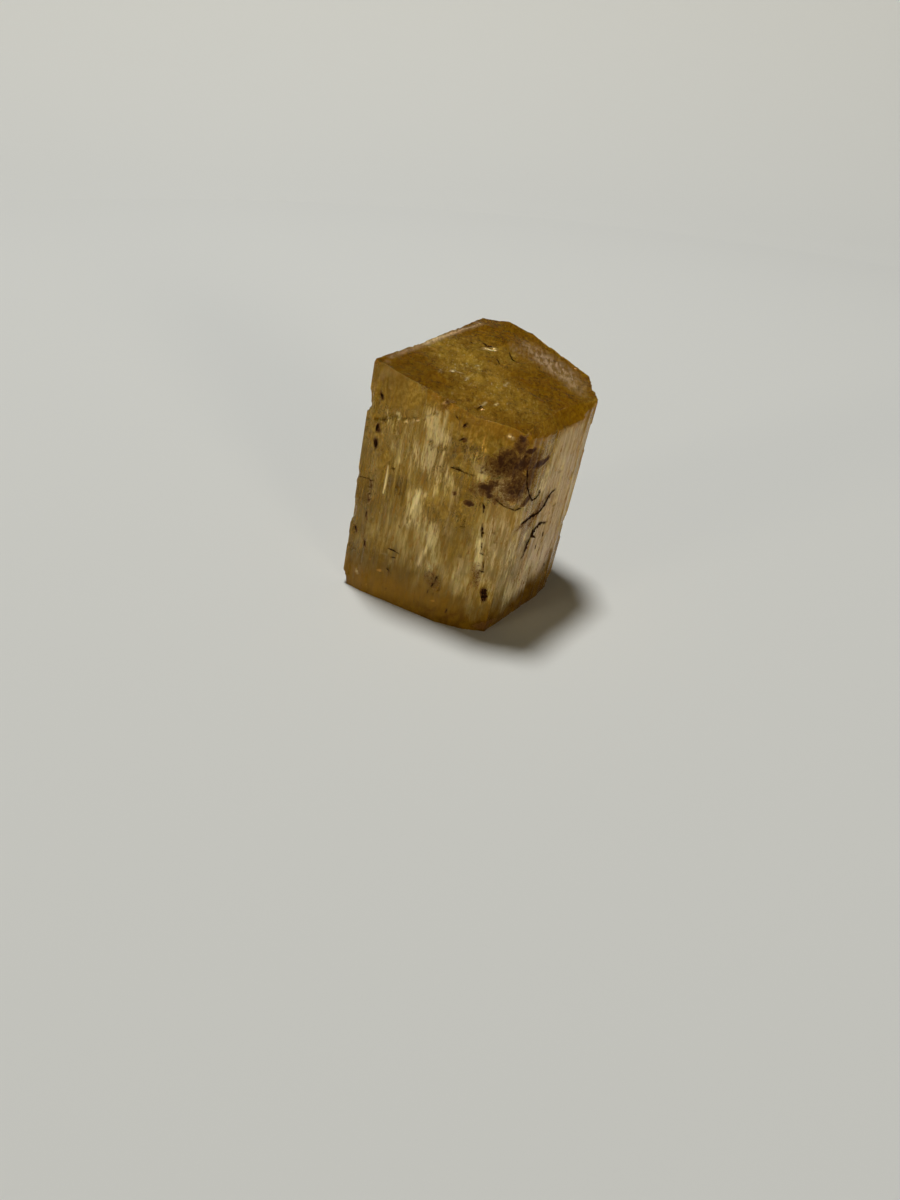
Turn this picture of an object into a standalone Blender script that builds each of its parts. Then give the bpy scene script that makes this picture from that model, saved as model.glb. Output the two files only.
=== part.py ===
"""Natural topaz crystal: a stout striated prism that stands on its flat broken end.

Units are metres, +Z is up and the best side looks along -Y. The prism is swept along the crystal's long
axis, which leans a few degrees from upright because the broken end is not square to it. Faces are given the
way a crystallographer gives them: the direction each one looks in, and how far out it lies. Chips, pits and
shell-shaped breaks are scooped out of the prism afterwards.
"""
import math
import random

import bmesh
import bpy
from mathutils import Vector, noise

MM = 0.001

# The long axis: how far it leans to the right (+X) and away (+Y) for each unit that it rises.
LEAN_RIGHT = 0.1183
LEAN_BACK = 0.0542
AXIS = Vector((LEAN_RIGHT, LEAN_BACK, 1.0))

# Prism faces, counter-clockwise from the left edge: name, azimuth of the outward normal in degrees,
# distance from the middle of the sole, mean width and greatest depth of a striation (mm), and the heights
# between which the striations are strong (mm).
PRISM_FACES = (
    ("left_edge", -127.2, 22.7, 1.7, 0.20, 0.0, 36.0),
    ("front_left", -120.1, 21.6, 1.25, 0.42, 17.0, 60.0),
    ("front_left_turn", -107.6, 22.8, 1.3, 0.36, 8.0, 60.0),
    ("front_nose", -93.2, 24.25, 1.5, 0.25, 4.0, 60.0),
    ("front_right", -35.7, 19.2, 1.35, 0.55, 2.0, 60.0),
    ("front_right_turn", -27.2, 19.2, 1.5, 0.50, 2.0, 60.0),
    ("right_edge", 8.0, 18.35, 1.5, 0.30, 0.0, 60.0),
    ("back_right_low", 41.0, 16.8, 1.6, 0.45, 0.0, 60.0),
    ("back_right", 60.0, 19.15, 1.6, 0.55, 0.0, 60.0),
    ("back_nose", 95.0, 23.7, 1.7, 0.35, 0.0, 60.0),
    ("back_left_turn", 152.0, 14.75, 1.6, 0.50, 0.0, 60.0),
    ("back_left", 146.5, 14.35, 1.5, 0.50, 0.0, 60.0),
)

# Flat top faces: name, tilt from level, azimuth it looks towards, and a point in mm that it passes through.
TOP_FACES = (
    ("top_main", 11.8, -39.3, (0.0, 0.0, 44.55)),
    ("top_ridge_bevel", 8.0, 150.0, (-6.9, 7.6, 47.1)),
    ("top_apex_bevel", 30.0, 75.0, (4.6, 24.6, 46.7)),
)

# The column's ends in mm: it is built too long at both ends and is then cut.
COLUMN_BOTTOM = -6.0
COLUMN_TOP = 58.0
RINGS_BELOW_LEDGE = 8
RINGS_ABOVE_LEDGE = 4
RISER = 0.2 * MM
LONGEST_SWELL = 11.0 * MM

# The ledge across the front left: the striations end at it, and the face above it lies further in. It spans
# a stretch of X, climbs by so much for each mm of X, and jumps up once; all in mm.
LEDGE_FACES = ("left_edge", "front_left")
LEDGE_SPAN = (-22.6, -7.5)
LEDGE_HEIGHT = 36.0
LEDGE_CLIMB = 0.3
LEDGE_JUMP_AT = -11.2
LEDGE_JUMP = 3.6
LEDGE_RAGGED = 0.5
LEDGE_DEPTH = 0.5
LEDGE_HALF_RISER = 0.15
PLAIN_RING = 36.4
FADE_ABOVE_LEDGE = 0.3

# The etched top: a net of ridges and hollows laid over the flat faces.
TOP_NET = 2.3 * MM
TOP_NET_SPAN = 30.0 * MM
TOP_RELIEF = 0.38 * MM
TOP_WAVE = 3.6 * MM
TOP_FACE_MIN_Z = 0.7

# The long flat break down the front edge: azimuth and tilt of its plane, a point in mm on it, how steeply
# its upper end slopes, and the crooked line (across, up from the point) along which that end runs.
EDGE_BREAK_AZIMUTH = -75.0
EDGE_BREAK_TILT = 84.4
EDGE_BREAK_POINT = (3.2, -22.9, 26.0)
EDGE_BREAK_END_SLOPE = 0.9
EDGE_BREAK_DEPTH = 10.0
EDGE_BREAK_BOTTOM = -40.0
EDGE_BREAK_RIM = ((-6.0, 4.6), (-0.4, 3.0), (1.4, 1.9), (2.6, 1.2), (5.2, -0.8), (7.4, -0.2), (9.4, 1.4),
                  (14.0, 0.6))

# Scooped breaks: name, point on the surface (mm), direction it is struck from, long direction in the
# surface, half lengths along and across (mm), depth (mm).
UP = (LEAN_RIGHT, LEAN_BACK, 1.0)
SCOOPS = (
    ("front_corner_break", (3.7, -22.6, 34.9), (-0.14, -0.93, 0.32), UP, 9.6, 7.6, 1.7),
    ("front_corner_hollow", (10.2, -22.6, 33.2), (0.22, -0.96, 0.20), (0.2, 0.1, 1.0), 7.2, 3.8, 1.4),
    ("front_corner_lip", (8.2, -23.9, 27.6), (0.32, -0.94, 0.0), (1.0, 0.3, -0.25), 6.4, 3.6, 1.35),
    ("right_top_roll", (16.6, -12.9, 39.9), (0.52, -0.36, 0.78), (0.58, 0.81, 0.06), 13.5, 5.6, 1.25),
    ("left_notch", (-19.5, -8.0, 39.2), (-0.92, -0.38, 0.0), UP, 2.9, 2.4, 0.65),
    ("left_notch_pit", (-19.4, -8.1, 37.8), (-0.92, -0.38, 0.0), UP, 1.1, 1.6, 0.95),
    ("left_edge_chip_high", (-18.6, -7.9, 46.6), (-0.80, -0.30, 0.52), (0.5, 0.8, 0.0), 1.8, 1.4, 0.5),
    ("left_edge_chip_mid", (-21.2, -9.0, 24.2), (-0.95, -0.30, 0.0), UP, 1.6, 1.5, 0.35),
    ("left_edge_chip_low", (-22.0, -9.3, 16.6), (-0.95, -0.30, 0.0), UP, 2.2, 1.5, 0.40),
    ("left_foot_chip", (-24.1, -10.2, 1.4), (-0.90, -0.35, -0.20), UP, 4.2, 2.6, 0.95),
    ("right_foot_chip", (19.1, -4.6, 0.8), (0.93, -0.28, -0.15), UP, 2.2, 1.7, 0.5),
    ("right_edge_chip", (23.0, -3.0, 31.0), (0.96, -0.25, 0.0), UP, 1.6, 1.6, 0.35),
    ("top_pit_far", (2.6, 9.5, 45.3), (0.1, -0.1, 1.0), (1.0, -0.35, 0.0), 1.5, 0.8, 0.55),
    ("top_pit_middle", (4.0, 3.4, 44.3), (0.1, -0.1, 1.0), (0.4, 1.0, 0.0), 0.9, 0.6, 0.4),
    ("top_pit_near", (1.3, -16.5, 42.1), (0.1, -0.1, 1.0), (1.0, 0.5, 0.0), 1.3, 0.8, 0.5),
    ("top_pit_edge", (-5.2, -16.4, 43.0), (-0.2, -0.5, 0.9), (1.0, -0.3, 0.0), 1.9, 1.2, 0.7),
    ("back_foot_break", (-1.8, 24.0, 2.5), (-0.42, 0.86, -0.30), (1.0, 0.5, 0.0), 6.0, 3.6, 1.1),
    ("back_right_foot_break", (12.4, 12.6, 1.5), (0.62, 0.66, -0.35), (-0.7, 0.7, 0.0), 5.0, 2.8, 0.9),
    ("back_nose_spall", (-0.6, 24.4, 27.0), (-0.35, 0.94, 0.0), UP, 9.0, 2.6, 1.0),
)
SCOOP_LIFT = 1.2
SCOOP_ROUGHNESS = 0.16
SCOOP_WAVE = 1.7
BIG_SCOOP = 4.0

SEED = 7


def new_object(name, mesh):
    """Put a mesh into the scene as an object."""
    obj = bpy.data.objects.new(name, mesh)
    bpy.context.scene.collection.objects.link(obj)
    return obj


def mesh_from(bm, name):
    """Turn a finished bmesh into a mesh."""
    mesh = bpy.data.meshes.new(name)
    bm.to_mesh(mesh)
    bm.free()
    return mesh


def direction(azimuth):
    """Level unit vector that looks towards an azimuth in degrees."""
    return Vector((math.cos(math.radians(azimuth)), math.sin(math.radians(azimuth)), 0.0))


def tilted(azimuth, tilt):
    """Unit vector that looks towards an azimuth, tilted away from straight up."""
    level = direction(azimuth) * math.sin(math.radians(tilt))
    return level + Vector((0.0, 0.0, math.cos(math.radians(tilt))))


def corner(first, second):
    """Point of the sole's outline where two prism faces meet."""
    a = direction(first[1])
    b = direction(second[1])
    across = a.x * b.y - a.y * b.x
    out_a = first[2] * MM
    out_b = second[2] * MM
    return Vector(((out_a * b.y - out_b * a.y) / across, (out_b * a.x - out_a * b.x) / across, 0.0))


def has_ledge(face, x):
    """Whether the ledge crosses a face at this x in mm."""
    return face[0] in LEDGE_FACES and LEDGE_SPAN[0] < x < LEDGE_SPAN[1]


def ledge_height(face, x, ragged):
    """Height in mm of the ledge, or of a plain ring where there is none."""
    if not has_ledge(face, x):
        return PLAIN_RING
    jump = LEDGE_JUMP if x > LEDGE_JUMP_AT else 0.0
    return LEDGE_HEIGHT + LEDGE_CLIMB * (x - LEDGE_SPAN[0]) + jump + LEDGE_RAGGED * ragged


def outline_stations():
    """Stations round the sole's outline, each with its face, depths, striation number and ledge height.

    Each striation is a flat strip, turned a little out of its face, with a narrow riser between it and the
    next one.
    """
    rng = random.Random(SEED)
    stations = []
    number = 0
    for index, face in enumerate(PRISM_FACES):
        width, depth = face[3] * MM, face[4] * MM
        start = corner(PRISM_FACES[index - 1], face)
        end = corner(face, PRISM_FACES[(index + 1) % len(PRISM_FACES)])
        length = (end - start).length
        strips = max(2, round(length / width))
        cuts = [0.0]
        for _ in range(strips):
            cuts.append(cuts[-1] + rng.uniform(0.5, 1.5))
        for strip in range(strips):
            turned = [depth * rng.random(), depth * rng.random()]
            if strip == 0:
                turned[0] = 0.0
            if strip == strips - 1:
                turned[1] = 0.0
            first = length * cuts[strip] / cuts[-1] + (RISER / 2 if strip else 0.0)
            last = length * cuts[strip + 1] / cuts[-1] - (RISER / 2 if strip < strips - 1 else RISER)
            middle = start.lerp(end, 0.5 * (first + last) / length).x / MM
            ledge = ledge_height(face, middle, rng.uniform(-1.0, 1.0))
            recess = LEDGE_DEPTH * MM if has_ledge(face, middle) else 0.0
            for place, inward in zip((first, last), turned):
                stations.append((start.lerp(end, place / length), face, inward, number, ledge, recess))
            number += 1
    return stations


def inward_depth(station, height):
    """Inward depth of a station at a height in mm: striations swell, fade and end at the ledge."""
    _, face, inward, number, ledge, recess = station
    strong_from, strong_to = face[5:]
    swell = noise.noise(Vector((number * 3.7, height * MM / LONGEST_SWELL, 0.5)))
    strength = min(1.0, max(0.15, 0.75 + 1.1 * swell))
    if not strong_from <= height <= strong_to:
        strength *= 0.3
    depth = inward * strength
    if recess and height > ledge:
        return FADE_ABOVE_LEDGE * depth + recess
    return depth


def ring_heights(ledge):
    """Heights in mm of one station's points, with a pair close together where the ledge is."""
    below = ledge - LEDGE_HALF_RISER
    above = ledge + LEDGE_HALF_RISER
    rise = (below - COLUMN_BOTTOM) / RINGS_BELOW_LEDGE
    heights = [COLUMN_BOTTOM + rise * i for i in range(RINGS_BELOW_LEDGE + 1)]
    rise = (COLUMN_TOP - above) / RINGS_ABOVE_LEDGE
    return heights + [above + rise * i for i in range(RINGS_ABOVE_LEDGE + 1)]


def column():
    """The striated prism as one closed mesh, longer than the crystal at both ends."""
    stations = outline_stations()
    bm = bmesh.new()
    rings = [[] for _ in ring_heights(PLAIN_RING)]
    for station in stations:
        outward = direction(station[1][1])
        for ring, height in zip(rings, ring_heights(station[4])):
            sunk = station[0] - outward * inward_depth(station, height)
            ring.append(bm.verts.new(sunk + AXIS * height * MM))
    for lower, upper in zip(rings, rings[1:]):
        for i in range(len(stations)):
            j = (i + 1) % len(stations)
            bm.faces.new((lower[i], lower[j], upper[j], upper[i]))
    bm.faces.new(list(reversed(rings[0])))
    bm.faces.new(rings[-1])
    return bm


def cut_flat(bm, point, normal):
    """Cut away what lies beyond a plane and close the cut with one flat face."""
    geom = bm.verts[:] + bm.edges[:] + bm.faces[:]
    cut = bmesh.ops.bisect_plane(bm, geom=geom, dist=1e-7, plane_co=point, plane_no=normal, clear_outer=True)
    rim = [item for item in cut["geom_cut"] if isinstance(item, bmesh.types.BMEdge) and item.is_boundary]
    bmesh.ops.holes_fill(bm, edges=rim, sides=0)


def etch_top(bm):
    """Lay a net over the flat top faces and sink its inner points into ridges and hollows."""
    bm.normal_update()
    reach = int(TOP_NET_SPAN / TOP_NET)
    for across in (Vector((1.0, 0.45, 0.0)).normalized(), Vector((-0.45, 1.0, 0.0)).normalized()):
        for index in range(-reach, reach + 1):
            top = [face for face in bm.faces if face.normal.z > TOP_FACE_MIN_Z]
            edges = {edge for face in top for edge in face.edges}
            verts = {vert for face in top for vert in face.verts}
            bmesh.ops.bisect_plane(bm, geom=list(verts) + list(edges) + top, dist=1e-7,
                                   plane_co=across * (index + 0.5) * TOP_NET, plane_no=across)
    for vert in bm.verts:
        if all(face.normal.z > TOP_FACE_MIN_Z for face in vert.link_faces):
            wave = 0.6 * noise.noise(vert.co / TOP_WAVE) + 0.5 * noise.noise(vert.co / (0.45 * TOP_WAVE))
            vert.co.z -= TOP_RELIEF * min(1.0, max(0.0, 0.5 + wave))


def scoop_mesh(index, scoop):
    """A flattened uneven ball, whose lower side becomes the broken surface."""
    name, place, struck_from, long_way, half_long, half_across, depth = scoop
    outward = Vector(struck_from).normalized()
    along = Vector(long_way)
    along = (along - outward * along.dot(outward)).normalized()
    across = outward.cross(along)
    middle = Vector(place) + outward * SCOOP_LIFT * depth
    half_deep = (1.0 + SCOOP_LIFT) * depth
    bm = bmesh.new()
    bmesh.ops.create_icosphere(bm, subdivisions=3 if half_long > BIG_SCOOP else 2, radius=1.0)
    for vert in bm.verts:
        wave = noise.noise(vert.co * SCOOP_WAVE + Vector((index * 5.3, 0.0, 0.0)))
        unit = vert.co * (1.0 + SCOOP_ROUGHNESS * wave)
        offset = along * unit.x * half_long + across * unit.y * half_across + outward * unit.z * half_deep
        vert.co = (middle + offset) * MM
    return mesh_from(bm, name)


def edge_break_mesh():
    """A slab whose inner side is the flat break down the front edge, with a crooked sloping upper end."""
    outward = tilted(EDGE_BREAK_AZIMUTH, EDGE_BREAK_TILT)
    across = outward.cross(Vector((0.0, 0.0, 1.0))).normalized()
    if across.x < 0:
        across = -across
    upward = Vector((0.0, 0.0, 1.0))
    upward = (upward - outward * upward.dot(outward)).normalized()
    bm = bmesh.new()
    inner, outer = [], []
    profile = [(side, high, EDGE_BREAK_END_SLOPE) for side, high in EDGE_BREAK_RIM]
    for side in (EDGE_BREAK_RIM[-1][0], EDGE_BREAK_RIM[0][0]):
        profile.append((side, EDGE_BREAK_BOTTOM, 0.0))
    for side, high, slope in profile:
        for row, out in ((inner, 0.0), (outer, EDGE_BREAK_DEPTH)):
            place = Vector(EDGE_BREAK_POINT) + across * side + outward * out + upward * (high + slope * out)
            row.append(bm.verts.new(place * MM))
    bm.faces.new(inner)
    bm.faces.new(list(reversed(outer)))
    for i in range(len(inner)):
        j = (i + 1) % len(inner)
        bm.faces.new((inner[j], inner[i], outer[i], outer[j]))
    bm.normal_update()
    if bm.calc_volume(signed=True) < 0:
        bmesh.ops.reverse_faces(bm, faces=bm.faces[:])
    return mesh_from(bm, "front_edge_break")


def cut_away(crystal, name, mesh):
    """Take a shape out of the crystal with a Boolean of its own."""
    cutter = new_object(f"cutter_{name}", mesh)
    cutter.hide_render = True
    cutter.display_type = "WIRE"
    cut = crystal.modifiers.new(name, "BOOLEAN")
    cut.operation = "DIFFERENCE"
    cut.solver = "EXACT"
    cut.object = cutter


def whole_crystal_mesh():
    """The crystal as it grew, before it was chipped."""
    bm = column()
    cut_flat(bm, Vector((0.0, 0.0, 0.0)), Vector((0.0, 0.0, -1.0)))
    for _, tilt, azimuth, point in TOP_FACES:
        cut_flat(bm, Vector(point) * MM, tilted(azimuth, tilt))
    etch_top(bm)
    bm.normal_update()
    return mesh_from(bm, "topaz_crystal")


def topaz_material():
    """Amber stone, frosted by its striations."""
    material = bpy.data.materials.new("amber_topaz")
    material.use_nodes = True
    shader = material.node_tree.nodes["Principled BSDF"]
    shader.inputs["Base Color"].default_value = (0.42, 0.22, 0.05, 1.0)
    shader.inputs["Roughness"].default_value = 0.3
    shader.inputs["Metallic"].default_value = 0.0
    return material


def chipped_crystal():
    """The crystal with a Boolean for each break."""
    crystal = new_object("topaz_crystal", whole_crystal_mesh())
    cut_away(crystal, "front_edge_break", edge_break_mesh())
    for index, scoop in enumerate(SCOOPS):
        cut_away(crystal, scoop[0], scoop_mesh(index, scoop))
    return crystal


def settle(crystal):
    """Apply the breaks, and put the middle of the crystal's box at the origin, with its sole on the floor."""
    evaluated = crystal.evaluated_get(bpy.context.evaluated_depsgraph_get())
    mesh = bpy.data.meshes.new_from_object(evaluated)
    low = Vector([min(vert.co[k] for vert in mesh.vertices) for k in range(3)])
    high = Vector([max(vert.co[k] for vert in mesh.vertices) for k in range(3)])
    shift = Vector((-(low.x + high.x) / 2, -(low.y + high.y) / 2, -low.z))
    for vert in mesh.vertices:
        vert.co += shift
    mesh.name = "topaz_crystal"
    mesh.materials.clear()
    mesh.materials.append(topaz_material())
    crystal.modifiers.clear()
    crystal.data = mesh


def main():
    for obj in list(bpy.data.objects):
        bpy.data.objects.remove(obj)
    crystal = chipped_crystal()
    settle(crystal)
    for obj in list(bpy.data.objects):
        if obj is not crystal:
            bpy.data.objects.remove(obj)


main()
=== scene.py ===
import math
import random
from collections import namedtuple

import bmesh
import bpy
from mathutils import Matrix, Vector, noise
from mathutils.bvhtree import BVHTree
from mathutils.geometry import delaunay_2d_cdt

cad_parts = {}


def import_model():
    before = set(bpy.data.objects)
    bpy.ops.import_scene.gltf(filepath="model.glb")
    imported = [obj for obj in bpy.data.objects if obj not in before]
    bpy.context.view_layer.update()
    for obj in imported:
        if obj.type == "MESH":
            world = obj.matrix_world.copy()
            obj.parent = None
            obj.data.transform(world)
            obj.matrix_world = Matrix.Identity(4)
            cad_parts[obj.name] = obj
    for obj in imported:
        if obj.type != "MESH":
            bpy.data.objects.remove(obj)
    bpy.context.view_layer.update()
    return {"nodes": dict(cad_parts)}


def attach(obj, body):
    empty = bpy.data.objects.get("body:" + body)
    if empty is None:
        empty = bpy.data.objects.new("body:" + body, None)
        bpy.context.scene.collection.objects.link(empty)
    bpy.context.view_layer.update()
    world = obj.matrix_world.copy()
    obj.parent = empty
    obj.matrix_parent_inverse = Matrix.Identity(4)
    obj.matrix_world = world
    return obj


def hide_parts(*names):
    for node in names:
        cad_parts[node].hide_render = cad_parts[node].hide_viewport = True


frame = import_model()

MM = 0.001

# The camera, in the part's frame: where it stands (mm), how far it looks down, how far it is rolled
# (degrees) and its lens (mm on the 36 mm long side of the picture, which is 1200 pixels).
CAMERA_PLACE = Vector((-1.341, -170.525, 98.427)) * MM
CAMERA_DOWN = 32.32
CAMERA_ROLL = 4.71
CAMERA_LENS = 27.06
CAMERA_NEAR = 0.01
SENSOR = 36.0
PICTURE = (900, 1200)
PICTURE_MIDDLE = (475, 480)

# The crystal's long axis, as in the solid: a point near the middle of the sole, and its lean for each unit
# that it rises.
FOOT = Vector((-0.1, -0.7, 0.0)) * MM
AXIS = Vector((0.1183, 0.0542, 1.0))

# Rays that sample the solid: how far outside and above they start (m), how far down the next one lies where
# one misses, and how far in towards the crystal's middle, as a share, where one from the camera misses.
OUTSIDE = 0.08
ABOVE = 0.1
MISS_STEP = 0.03 * MM
STEP_IN = 0.01

# The skin: how finely the solid is sampled, and how the rim between its sides and its top is found.
OUTLINE_RAYS = 3600
OUTLINE_HEIGHT = 3.0 * MM
SOLE_HEIGHT = 0.02 * MM
ROW_HEIGHT = 0.42 * MM
TOP_SPACING = 0.34 * MM
SOLE_SPACING = 3.0 * MM
NET_ROW = 0.87
NET_TOLERANCE = 1e-7
RIM_SEARCH_FROM = 48.5 * MM
RIM_NEAR = 3.2 * MM
RIM_STEP = 0.06 * MM
RIM_MEDIAN = (-2, -1, 0, 1, 2)
TOP_FADE = 5.0 * MM
TOP_NORMAL_Z = 0.76

# Fine striations in mm: how wide and how deep, how far each one runs before it changes, where its ridge lies
# between its valleys, and how its depth swells along it: the mean, the noise's share and the least.
RIDGE_WIDTH = (0.30, 0.85)
RIDGE_DEPTH = (0.015, 0.085)
RIDGE_RUN = 7.0
RIDGE_PEAK = (0.25, 0.75)
RIDGE_SWELL = (0.7, 1.3, 0.1)
# How far apart neighbouring striations read the noise, and where in it.
RIDGE_APART = 5.1
RIDGE_NOISE = 2.5
# Long etched pits between the striations: how many, how long, how deep, how high up they start (mm), and how
# many striations each one crosses.
PIT_COUNT = 520
PIT_LENGTH = (0.8, 6.0)
PIT_DEPTH = (0.05, 0.20)
PIT_HEIGHTS = (1.0, 44.0)
PIT_ACROSS = (1, 1, 2)
# Etching on the top (mm): the mean depth, then coarse and fine noise: depth, reach in x and y, and where in
# the noise it is read.
ETCH_DEPTH = 0.10
ETCH_NOISE = (
    (0.10, 1.5, 1.1, 3.0),
    (0.06, 0.6, 0.6, 9.0),
)

# Fractures inside: thin lens-shaped gaps. How many, their radius and thickness (mm), how far they stay
# under the surface, and which share of them lies across the crystal's axis or along it.
GAP_COUNT = 420
GAP_RADIUS = (0.6, 4.0)
GAP_THICK = 0.05
GAP_CLEAR = 0.3
GAP_HEIGHTS = (1.5, 44.5)
GAP_REACH = 23.0
GAP_ACROSS = 0.35
GAP_ALONG = 0.45
# How they vary: a high power makes most of them small, the room that each needs all round is in radii, and
# then come how far they lean, how slim they are, and how deep and how fine their ragged edges and waves are.
GAP_POWER = 2.5
GAP_ROOM = 1.2
GAP_ACROSS_LEAN = 0.12
GAP_ALONG_LEAN = 0.2
GAP_SLIM = (0.35, 1.0)
GAP_SHIFT = 100.0
GAP_RAGGED = 0.35
GAP_RAGGED_FINE = 1.7
GAP_RAGGED_NOISE = 1.0
GAP_WAVE = 0.06
GAP_WAVE_FINE = 1.5
GAP_WAVE_NOISE = 4.0

# The paper: a wide level floor, and a backdrop that starts so far out and curves up with a radius (m).
FLOOR_SIZE = 60.0
BACKDROP_START = 0.45
BACKDROP_RADIUS = 1.1
BACKDROP_ROWS = 24
BACKDROP_SEGMENTS = 96

# Seeds: of the striations and pits, and of the fractures.
SEED = 11
GAP_SEED = 6

# The cracks' filling: how deep it goes in and how far it stands over the solid (mm), and its steps (pixels).
CRACK_DEPTH = 0.9
CRACK_LIFT = 0.05
CRACK_STEP = 1.5
# How a crack thins out to its ends: its width there as a share, and what each step in adds to it.
CRACK_END = 0.25
CRACK_TAPER = 0.4
# Its ragged edge: how fast the noise runs along it, how far apart cracks read it and where; then width and
# depth with the noise's share: the mean, the share and the least.
CRACK_RUN = 0.9
CRACK_APART = 7.3
CRACK_NOISE = 1.0
CRACK_WIDTHS = (1.0, 1.8, 0.05)
CRACK_DEPTHS = (0.9, 1.5, 0.3)
# How far from a crack its distance is still worked out, along the crystal and in all, and the distance in mm
# that is given past that.
CRACK_REACH_UP = 8 * MM
CRACK_REACH = 12 * MM
CRACK_FAR = 3.0
# Patches and strokes: pixels by which a patch is measured out, half sizes at which it ends, half sizes past
# which it isn't worked out, a stroke's loss for each half width, and how far from its start it is worked out.
PROBE = 2
PATCH_END = 1.6
PATCH_CUT = 2.4
STROKE_LOSS = 0.5
STROKE_REACH = 22 * MM

# What the photograph shows on the crystal, in its own pixels. Cracks: half width in mm, then points.
CRACKS = (
    (0.2, (555, 489.5), (551, 493), (548, 497), (546, 502),
     (543, 507), (538, 513), (532, 516), (521, 524.5)),
    (0.26, (545.5, 522.5), (541, 523), (537.8, 525), (533.6, 530.6),
     (531, 536), (526.8, 544), (524, 552.5)),
    (0.16, (524, 552.5), (523, 556), (521, 558.5)),
    (0.08, (495, 499), (500, 503.5), (505, 507), (510, 508.5), (514.5, 510.7), (521, 508)),
    (0.13, (527.5, 470), (527, 479), (527, 487), (529, 494),
     (532, 501), (536, 498), (539, 494), (539.5, 490)),
    (0.14, (483, 503), (484, 508), (483.2, 513)),
    (0.14, (482.5, 524), (482, 530), (481.8, 537)),
    (0.07, (481.8, 543), (481.5, 550)),
    (0.18, (480.5, 553), (483.5, 555)),
    (0.08, (483, 562), (483.4, 570)),
    (0.15, (480, 571), (484, 572)),
    (0.30, (482.8, 589), (482.6, 595), (482.4, 601)),
    (0.30, (484.9, 589), (484.7, 595), (484.5, 601)),
    (0.10, (388, 548), (393, 550.5), (396, 552), (399, 554)),
    (0.08, (396, 558), (391, 557)),
    (0.07, (450, 467), (458, 470), (466, 473), (475, 476)),
    (0.22, (381, 393), (383, 399)),
    (0.28, (378, 424), (376, 431)),
    (0.32, (375.8, 439), (375, 447)),
    (0.10, (369, 480), (374, 480.5)),
    (0.09, (368, 487), (372, 487)),
    (0.11, (368, 494), (371, 493.5)),
    (0.07, (367, 500), (371, 499)),
    (0.05, (358, 476), (370, 479)),
    (0.13, (366.8, 511), (365.8, 516)),
    (0.14, (355, 526), (356, 530)),
    (0.13, (365, 541), (364, 546)),
    (0.14, (543, 532), (542.5, 536)),
    (0.10, (536, 545), (535, 549)),
    (0.11, (544, 563), (544, 566)),
    (0.13, (483, 343), (487, 346), (492, 346.5)),
    (0.10, (497, 359), (500, 364)),
    (0.07, (509, 352), (512, 359), (515, 361)),
    (0.10, (477, 409), (481, 406), (483, 408)),
    (0.13, (463, 427), (467, 423.5)),
    (0.16, (459, 441), (464, 438)),
    (0.10, (447, 609), (445, 613)),
    (0.12, (437, 576), (435, 581)),
    (0.12, (433, 583), (431, 587)),
    (0.11, (428, 590), (427, 593)),
    (0.10, (439, 466), (441, 467)),
    (0.11, (399, 526), (400, 528)),
    (0.09, (456, 416), (458, 419)),
    (0.08, (386, 568), (389, 571)),
)
# Patches: centre, half width and half height in pixels, strength. First the iron stain in and beside the
# cracks.
STAIN = (
    (522.5, 439, 3.0, 3.5, 1.0),
    (521, 447, 6, 8, 0.72),
    (532, 451.5, 4.5, 2.6, 1.1),
    (524, 464.5, 5.5, 3.4, 1.15),
    (538, 465, 5.0, 3.0, 1.15),
    (545, 461.5, 3.6, 2.2, 1.05),
    (501, 461, 3.0, 6.0, 1.1),
    (504, 469, 2.0, 3.2, 0.9),
    (509, 457, 10, 8, 0.75),
    (514, 476, 2.0, 2.6, 0.95),
    (520, 465, 18, 9, 0.74),
    (517, 489, 13, 13, 0.74),
    (529, 478, 7, 13, 0.6),
    (527, 500, 3.0, 3.5, 0.85),
    (486, 487.5, 8.0, 3.6, 0.95),
    (494, 484, 6, 3.4, 0.75),
    (489, 495, 3.4, 3.6, 0.9),
    (496, 500, 4, 3, 0.6),
    (469, 503.5, 5.0, 2.8, 0.95),
    (454.5, 493.5, 1.8, 2.0, 0.9),
    (478, 490, 10, 6, 0.45),
    (480, 460, 3, 2, 0.4),
    (536, 513, 5, 3, 0.45),
    (524, 523.5, 4, 2.5, 0.5),
    (483, 626, 9, 3, 0.5),
    (483.7, 595.0, 2.0, 4.6, 3.0),
    (449, 401, 6, 2.6, 0.5),
    (432, 580, 7, 8, 0.35),
    (378.2, 428, 1.6, 4.5, 0.8),
    (375.6, 443, 1.6, 5, 0.95),
    (382, 396, 1.4, 4, 0.75),
    (371, 484, 1.8, 5, 0.5),
    (368.5, 498, 1.6, 5, 0.6),
    (366, 516, 1.3, 5, 0.55),
    (364.5, 543, 1.3, 4, 0.7),
    (356, 529, 1.5, 4, 0.6),
    (464, 440, 3, 2.4, 0.7),
    (465, 426, 2.5, 2, 0.6),
    (476, 575, 5, 12, 0.35),
)
# Hazy zones, where the crystal is veiled inside and glows in place of being clear.
HAZE = (
    (400, 545, 50, 30, 0.45),
    (450, 560, 40, 30, 0.45),
    (465, 590, 40, 25, 0.50),
    (500, 540, 30, 40, 0.50),
)
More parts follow.
